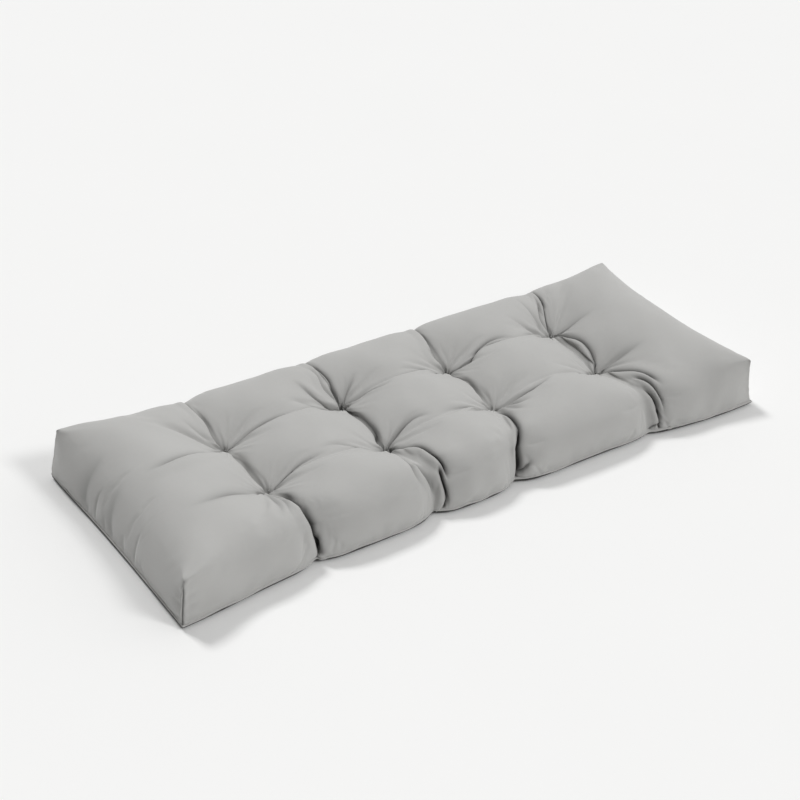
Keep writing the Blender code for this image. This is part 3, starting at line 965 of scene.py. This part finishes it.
def hemmed(points, last):
    # carries the loose lower edge out round a small roll, under it and inwards:
    # each ring is the edge widened by the roll's sine and lowered by 1 less its cosine
    size = np.array((halfLength, halfWidth))
    roll = seams["rollRadius"]
    rings = []
    for turn in seams["rollTurns"]:
        angle = math.radians(turn)
        ring = points[last].copy()
        ring[:, :2] *= 1 + roll * math.sin(angle) / size
        ring[:, 2] -= roll * (1 - math.cos(angle))
        rings.append(ring)
    for inward, high in ((seams["hem"], seams["hemHeight"]), (seams["tuckedIn"], 0.0)):
        ring = points[last].copy()
        ring[:, :2] *= 1 - inward / size
        ring[:, 2] = ring[:, 2] * high + seams["underside"] * (1 - high)
        rings.append(ring)
    return rings


wrinkles = {
    "height": 0.0013,  # fine pulls that spread from every tack
    "start": 0.005,
    "reach": 0.030,
    "rays": (7, 12, 19),
    "spiral": 22,  # radians that the rays turn by in each metre outwards
    "finer": 0.4,  # how fast the finer sets of rays get lower
    "ripple": 0.0007,  # loose waves in the walls
    "rippleTurns": (52, 95),
    "fineRipple": 0.6,  # height of the quicker waves beside the slower
    "rippleAbove": 0.03,
    "rippleReach": 0.06,  # the waves fade out over this much at the ends and at the walls' top
}


def wrinkled(points, quads, flat, box):
    # rays round each tack: sines of the angle, fading as e^-(r/reach); and upright waves along the walls
    normals = pointNormals(points, quads)
    height = np.zeros(len(points))
    for number, side in enumerate(("back", "front")):
        for column, place in enumerate(columnX):
            away = flat - (place, rowY[side])
            far = np.hypot(away[:, 0], away[:, 1])
            angle = np.arctan2(away[:, 1], away[:, 0])
            rays = 0
            for turn, count in enumerate(wrinkles["rays"]):
                # a different start at every tack, so that no two look alike
                phase = count * angle + 2.4 * column + 1.1 * number + 1.7 * turn + wrinkles["spiral"] * far
                rays = rays + np.sin(phase) / (1 + wrinkles["finer"] * turn)
            height += (wrinkles["height"] * rays * np.exp(-far / wrinkles["reach"])
                       * smooth(far / wrinkles["start"]))
    reach = wrinkles["rippleReach"]
    onWall = smooth((cover["wallHeight"] + wrinkles["rippleAbove"] - box[:, 2]) / reach)
    onWall = onWall * smooth((halfLength - abs(box[:, 0])) / reach)
    slow, quick = wrinkles["rippleTurns"]
    along = flat[:, 0] + 0.6 * flat[:, 1]
    against = flat[:, 0] - 0.5 * flat[:, 1]
    waves = np.sin(slow * along + 2 * np.sin(9 * flat[:, 0]))
    waves = waves + wrinkles["fineRipple"] * np.sin(quick * against)
    return points + normals * (height + wrinkles["ripple"] * waves * onWall)[:, None]


flat = clothPlace(pattern)
shape = wrinkled(shape, faces, flat, pattern)
shape, foldDepth = folded(shape, faces, flat)
shape[:, 2] = np.maximum(shape[:, 2], seams["lowest"])
shape, seamDepth = seamed(shape, faces, pattern)
foldDepth = np.maximum(foldDepth, seamDepth)
print("folds and seams laid")


def loopOf(faces):
    # the open edge as one ordered ring of point numbers, with the cloth on its left
    ends = np.stack([faces, np.roll(faces, -1, axis=1)], -1).reshape(-1, 2)
    count = faces.max() + 1
    backwards = np.isin(ends[:, 0] * count + ends[:, 1], ends[:, 1] * count + ends[:, 0], invert=True)
    following = dict(ends[backwards].tolist())
    ring = [next(iter(following))]
    while following[ring[-1]] != ring[0]:
        ring.append(following[ring[-1]])
    return np.array(ring)


def markShade(piece, depth):
    # stores how deep every point lies in a fold, or how far under the roll it is, which the cloth is darkened
    # by as painted shade
    shade = piece.data.attributes.new("painted_shade_depth", "FLOAT", "POINT")
    shade.data.foreach_set("value", depth.astype(np.float32))


def coverPiece():
    # bands of quads join the open edge to the rings under it, and the last ring is closed by one face
    ring = loopOf(faces)
    rings = hemmed(shape, ring)
    points = np.concatenate([shape] + rings)
    count = len(shape)
    side = len(ring)
    numbers = [ring] + [np.arange(side) + count + step * side for step in range(len(rings))]
    bands = [np.stack([np.roll(above, -1), above, below, np.roll(below, -1)], -1)
             for above, below in zip(numbers[:-1], numbers[1:])]
    allFaces = np.concatenate([faces] + bands).tolist() + [numbers[-1][::-1].tolist()]
    # each face is laid out on the flat cloth by the panel that its middle lies on
    corners = pattern[faces]
    uv = clothPlace(corners, corners.mean(1, keepdims=True)).reshape(-1, 2)
    passed = np.concatenate([[0], np.cumsum(np.linalg.norm(np.diff(pattern[ring], axis=0), axis=1))])
    onward = np.append(passed[1:], passed[-1] + 0.001)
    levels = seams["turnedFrom"] + np.array(seams["turnedCloth"])
    turned = []
    for upper, lower in zip(levels[:-1], levels[1:]):
        along = np.stack([onward, passed, passed, onward], 1)
        turned.append(np.stack([along, np.broadcast_to((upper, upper, lower, lower), along.shape)], -1))
    uv = np.concatenate([uv] + [part.reshape(-1, 2) for part in turned] + [points[numbers[-1][::-1], :2]])
    material = clothMaterial("cushion_cloth", clothLook)
    piece = makePiece("cushion_cover", points, allFaces, material, uv)
    markShade(piece, np.concatenate([foldDepth, np.zeros(len(points) - count)]))
    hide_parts("cushion_body")


clothLook = {
    "dark": (0.415, 0.412, 0.400, 1),
    "light": (0.500, 0.497, 0.484, 1),
    "roughness": 0.82,
    "sheen": 0.25,
    "yarn": 0.00055,  # metres from one yarn to the next
    "weaveHeight": 0.00006,
    "slubs": ((900, 45, 1), (45, 900, 1)),  # thick places, long and thin along weft and warp
    "slubTone": 0.22,
    "slubHeight": 0.6,
    "blotchScale": 9.0,
    "blotchTone": 0.5,
    "weaveTone": 0.12,
    "weaveGloss": 0.08,
    "blotchGloss": 0.06,
    "crumple": 0.0009,
    "crumpleScale": 26.0,
    # painted shade: how fast a point's stored depth darkens the cloth, and the near black it is darkened
    # towards
    "foldShade": 105.0,
    "deep": (0.05, 0.049, 0.046, 1),
}


def clothMaterial(name, look):
    # plain weave: |sin| of the warp and weft in turn, by a checkerboard of two sines;
    # slubs along each yarn; soft blotches and small wrinkles; and painted shade, which darkens the colour
    # towards a near black where the stored shade depth is high
    material, wire, shader = newMaterial(name)
    cloth = wire.node("ShaderNodeUVMap", {"uv_map": "cloth"})
    place = wire.node("ShaderNodeTexCoord", output=3)
    turns = math.pi / look["yarn"]
    across = wire.node("ShaderNodeSeparateXYZ", values={"Vector": cloth})
    along = wire.node("ShaderNodeSeparateXYZ", values={"Vector": cloth}, output=1)
    warp = abs((across * turns).sine())
    weft = abs((along * turns).sine())
    checks = ((across + along) * (turns / 2)).sine() * ((across - along) * (turns / 2)).sine()
    over = checks * 0.5 + 0.5
    weave = warp * over + weft * (1 - over)

    def streaks(stretch):
        stretched = wire.node("ShaderNodeVectorMath", {"operation": "MULTIPLY"}, {0: cloth, 1: stretch})
        return wire.node("ShaderNodeTexNoise", values={"Vector": stretched, "Scale": 1.0, "Detail": 2.0})

    slubs, slubsAlong = [streaks(stretch) for stretch in look["slubs"]]
    blotches = wire.node("ShaderNodeTexNoise", values={
        "Vector": place, "Scale": look["blotchScale"], "Detail": 3.0})
    # painted shade: the depth of folds, seams and the base's turned-under rim mixes the colour towards the
    # near-black deep colour
    paintedShadeDepth = wire.node("ShaderNodeAttribute", {"attribute_name": "painted_shade_depth"}, output=2)
    tone = (blotches * look["blotchTone"] + slubs * look["slubTone"] + slubsAlong * look["slubTone"]
            + weave * look["weaveTone"] - 0.03)
    colour = wire.node("ShaderNodeMix", {"data_type": "RGBA"}, {
        "Factor": tone, 6: look["dark"], 7: look["light"]}, output=2)
    shade = wire.node("ShaderNodeMath", {"operation": "MULTIPLY", "use_clamp": True}, {
        0: paintedShadeDepth, 1: look["foldShade"]})
    colour = wire.node("ShaderNodeMix", {"data_type": "RGBA"}, {
        "Factor": shade, 6: colour, 7: look["deep"]}, output=2)
    crumpled = wire.node("ShaderNodeTexNoise", values={
        "Vector": place, "Scale": look["crumpleScale"], "Detail": 3.0, "Distortion": 0.6})
    fine = wire.node("ShaderNodeBump", values={
        "Height": weave + slubs * look["slubHeight"] + slubsAlong * look["slubHeight"],
        "Distance": look["weaveHeight"], "Strength": 0.7})
    bumped = wire.node("ShaderNodeBump", values={
        "Height": crumpled, "Distance": look["crumple"], "Strength": 0.6, "Normal": fine})
    connect(wire, shader, {
        "Base Color": colour,
        "Roughness": look["roughness"] - weave * look["weaveGloss"] + blotches * look["blotchGloss"],
        "Normal": bumped,
        "Sheen Weight": look["sheen"],
        "Sheen Roughness": 0.5,
        "Specular IOR Level": 0.3,
    })
    return material


coverPiece()


# the flat base, cut to the cover's outline and sewn into its turned edge

base = {
    "thickness": 0.002,
    "rimDrop": 0.0050,  # the sewn edge lies this far under the cover's seam
    "rollIn": 0.009,  # how far in the base comes down to the floor
    "underShade": 0.030,  # painted shade under the cover's roll
    "underHeight": 0.0085,
    "underFade": 0.002,
    "underReach": 0.03,
    "inset": -0.0006,
    "dimple": 0.0015,  # how far the tuft thread draws it up
    "dimpleReach": 0.015,
    "edgeRows": (0, 0.0002, 0.0006, 0.0014, 0.0026, 0.0042, 0.0062, 0.009, 0.013),  # metres in from the seam
    "field": (0.020, 0.019),  # even rows start and stop this far in
    "spacing": 0.008,
}
# painted shade: the same cloth as the cover, painted a little darker for the base's underside
baseLook = dict(clothLook, dark=(0.395, 0.392, 0.380, 1), light=(0.470, 0.467, 0.454, 1))


def basePiece():
    # a patch drawn between the four sewn edges: each point mixes the facing edges, less the corners
    size = grid.max(0)
    atSeam = grid[:, 2] == 0
    edges = {}
    for name, axis, place in (("front", 1, 0), ("back", 1, size[1]), ("left", 0, 0), ("right", 0, size[0])):
        number = np.nonzero(atSeam & (grid[:, axis] == place))[0]
        number = number[grid[number, 1 - axis].argsort()]
        edges[name] = (cut[number, 1 - axis], start[number, :2])
    near = np.array(base["edgeRows"])
    first, last = base["field"]
    stations = []
    for half in (halfLength, halfWidth):
        field = np.arange(first - half, half - last, base["spacing"])
        stations.append(np.concatenate([near - half, field, (half - near)[::-1]]))

    def edge(name, places):
        along, points = edges[name]
        return np.stack([np.interp(places, along, points[:, 0]), np.interp(places, along, points[:, 1])], -1)

    front, back = edge("front", stations[0]), edge("back", stations[0])
    left, right = edge("left", stations[1]), edge("right", stations[1])
    u = ((stations[0] + halfLength) / (2 * halfLength))[:, None, None]
    v = ((stations[1] + halfWidth) / (2 * halfWidth))[None, :, None]
    patch = ((1 - v) * front[:, None] + v * back[:, None] + (1 - u) * left[None] + u * right[None]
             - (1 - u) * ((1 - v) * front[0] + v * back[0]) - u * ((1 - v) * front[-1] + v * back[-1]))
    patch = patch * (1 - base["inset"] / halfWidth)
    inside = np.minimum(halfLength - abs(stations[0])[:, None], halfWidth - abs(stations[1])[None])
    rim = seamHeight(stations[0])[:, None] - base["rimDrop"]
    high = rim * (1 - dome(inside / base["rollIn"]))
    for tack in np.concatenate([tacks["back"], tacks["front"]]):
        away = np.hypot(patch[:, :, 0] - tack[0], patch[:, :, 1] - tack[1])
        high = high + base["dimple"] * bell(away, base["dimpleReach"])
    points = np.concatenate([patch, high[:, :, None]], -1).reshape(-1, 3)
    faces = gridFaces(len(stations[0]), len(stations[1]))[:, ::-1]
    uv = points[faces.reshape(-1), :2]
    material = clothMaterial("base_cloth", baseLook)
    piece = makePiece("base_sheet", points, faces, material, uv)
    # painted shade: the base's rim goes nearly black where it turns under the roll towards the floor
    under = smooth((base["underHeight"] - high) / base["underFade"])
    markShade(piece, (base["underShade"] * under * bell(inside, base["underReach"])).reshape(-1))
    wall = piece.modifiers.new("thickness", "SOLIDIFY")
    wall.thickness = base["thickness"]
    wall.offset = -1
    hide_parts("base_panel")


basePiece()
print("cover closed, base sewn in")


# the tacks: a twisted thread drawn through the cushion and knotted at every tuft

thread = {
    "radius": 0.00075,
    "spread": 0.0042,  # half the length that shows
    "arch": 0.0012,
    "sink": 0.0035,  # how far under the tack's middle it lies
    "hook": 0.002,  # and how much its ends turn down into the cloth
    "lay": 0.9,  # how close the strands lie, 1 for just touching
    "twists": 2.5,
    "around": 10,
    "along": 40,
    "grainScale": 2600.0,
    "colour": (0.42, 0.418, 0.405, 1),
    "paleColour": (0.55, 0.547, 0.53, 1),
    "roughness": 0.6,
}


def tube(path, radius, around):
    # a round ring of points carried along a path, square to its direction, and closed at both ends
    heading = np.gradient(path, axis=0)
    heading /= np.linalg.norm(heading, axis=1, keepdims=True)
    side = np.cross(heading, (0, 0, 1.0))
    side /= np.maximum(np.linalg.norm(side, axis=1, keepdims=True), 1e-9)
    up = np.cross(side, heading)
    angle = np.linspace(0, tau, around, endpoint=False)
    taper = np.sqrt(np.clip(1 - np.linspace(-1, 1, len(path)) ** 8, 0, 1)) * radius
    ring = np.cos(angle)[None, :, None] * side[:, None] + np.sin(angle)[None, :, None] * up[:, None]
    points = path[:, None] + ring * np.maximum(taper, radius * 0.05)[:, None, None]
    faces = gridFaces(len(path), around, closed=True)
    ends = [list(range(around))[::-1], list(range((len(path) - 1) * around, len(path) * around))]
    return points.reshape(-1, 3), faces.tolist() + ends


def threadMaterial():
    # a very fine noise moves the colour, the roughness and the bump
    material, wire, shader = newMaterial("waxed_thread")
    place = wire.node("ShaderNodeTexCoord", output=3)
    grain = wire.node("ShaderNodeTexNoise", values={
        "Vector": place, "Scale": thread["grainScale"], "Detail": 2.0})
    colour = wire.node("ShaderNodeMix", {"data_type": "RGBA"}, {
        "Factor": grain, 6: thread["colour"], 7: thread["paleColour"]}, output=2)
    bumped = wire.node("ShaderNodeBump", values={"Height": grain, "Distance": 0.0001, "Strength": 0.5})
    rough = thread["roughness"] + grain * 0.1
    connect(wire, shader, {"Base Color": colour, "Roughness": rough, "Normal": bumped})
    return material


def tackPiece(side, number, place, material):
    # two strands wound round each other along an arch: out, over the dimple and back in
    share = np.linspace(-1, 1, thread["along"])
    turn = 0.6 + 0.5 * number + (0.9 if side == "back" else 0)  # no two tacks point the same way
    heading = np.array((math.cos(turn), math.sin(turn)))
    points = []
    faces = []
    for strand in (0, math.pi):
        wind = share * tau * thread["twists"] / 2 + strand
        across = thread["radius"] * thread["lay"] * np.cos(wind)
        path = np.stack([
            place[0] + share * thread["spread"] * heading[0] - across * heading[1],
            place[1] + share * thread["spread"] * heading[1] + across * heading[0],
            place[2] - thread["sink"] + thread["arch"] * (1 - share ** 2) - thread["hook"] * share ** 6
            + thread["radius"] * thread["lay"] * np.sin(wind)], -1)
        strandPoints, strandFaces = tube(path, thread["radius"], thread["around"])
        count = sum(len(part) for part in points)
        faces += [[corner + count for corner in face] for face in strandFaces]
        points.append(strandPoints)
    piece = makePiece(f"tack_thread_{side}_{number}", np.concatenate(points), faces, material)
    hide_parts(f"tuft_tack_{side}_{number}")


waxed = threadMaterial()
for side, places in tacks.items():
    for number, place in enumerate(places, 1):
        tackPiece(side, number, place, waxed)
print("tacks tied")
